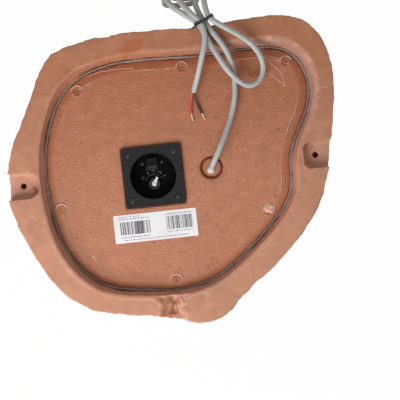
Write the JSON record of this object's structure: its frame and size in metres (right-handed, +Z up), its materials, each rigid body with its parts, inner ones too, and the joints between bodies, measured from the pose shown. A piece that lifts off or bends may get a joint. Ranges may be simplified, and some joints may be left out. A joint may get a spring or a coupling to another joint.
{
  "type": "rock shaped garden speaker",
  "caption": "Artificial rock garden speaker lying crown down, with its sunk base plate, terminal cup, tap selector, sticker, cable gland and looped cable on the underside.",
  "frame": {"origin": "middle of the rock's box without its cable, on the surface that the crown lies on", "axes": "+X along the line through the two anchor holes, +Y towards the back of the rock where the cable hangs over the rim, +Z up out of the underside, which is the rock's base in use"},
  "size_m": [0.4131, 0.419, 0.3247],
  "materials": {
    "rock_paint": "sprayed sandstone paint on moulded rock",
    "plate_paint": "sprayed orange peel paint",
    "seal_grey": "grey sealant",
    "screw_paint": "painted over",
    "cup_black": "moulded, fine grain",
    "black_steel": "black oxide",
    "pointer_white": "moulded",
    "label_white": "printed film",
    "gland_paint": "painted over",
    "nylon_black": "moulded",
    "cable_grey": "soft sheath",
    "tie_black": "soft plastic",
    "wire_red": "insulated, stripped tip",
    "wire_black": "insulated, stripped tip",
    "grille_paint": "powder coated",
    "foam_black": "closed cell foam",
    "basket_black": "pressed steel",
    "cone_grey": "treated paper",
    "surround_black": "moulded rubber",
    "spider_cloth": "resin dipped cloth",
    "copper": "bare copper",
    "ferrite": "sintered ferrite",
    "zinc_steel": "zinc plated",
    "tag_board": "paper laminate",
    "core_steel": "varnished laminations",
    "winding_tape": "polyester tape",
    "wadding": "polyester wadding"
  },
  "bodies": {
    "rock": {"rock_shell": "rock_paint", "base_plate": "plate_paint", "base_seal": "seal_grey", "base_screws": "screw_paint", "terminal_cup": "cup_black", "terminal_gasket": "foam_black", "terminal_screws": "black_steel", "connector_block": "nylon_black", "shelf_screws": "black_steel", "selector_switch": "nylon_black", "selector_nut": "black_steel", "label": "label_white", "cable_gland": "gland_paint", "gland_nut": "nylon_black", "cable_lead": "cable_grey", "cable_loop": "cable_grey", "cable_end": "cable_grey", "cable_hank": "cable_grey", "cable_tie": "tie_black", "red_conductor": "wire_red", "black_conductor": "wire_black", "grille": "grille_paint", "grille_screws": "black_steel", "driver_gasket": "foam_black", "driver_basket": "basket_black", "driver_screws": "black_steel", "surround": "surround_black", "spider": "spider_cloth", "top_plate": "zinc_steel", "magnet": "ferrite", "pole_piece": "zinc_steel", "driver_tag": "tag_board", "transformer_core": "core_steel", "transformer_coil": "winding_tape", "transformer_strap": "zinc_steel", "transformer_screws": "zinc_steel", "damping_pad": "wadding", "supply_wire": "wire_black", "selector_wire": "wire_black", "driver_wire": "wire_red"},
    "selector": {"selector_shaft": "zinc_steel", "selector_pointer": "pointer_white"},
    "diaphragm": {"cone": "cone_grey", "whizzer_cone": "cone_grey", "dust_cap": "cone_grey", "voice_coil": "copper"}
  },
  "joints": [
    {"name": "tap_select", "type": "hinge", "parent": "rock", "child": "selector", "pos_m": [-0.027, -0.007, 0.266], "axis": [0, 0, 1], "range_deg": [-30, 90]},
    {"name": "cone_travel", "type": "slide", "parent": "rock", "child": "diaphragm", "axis": [0, -0.9063, -0.4226], "range_m": [-0.004, 0.004], "stiffness_N_per_m": 2000, "deforming": ["surround", "spider"]}
  ]
}
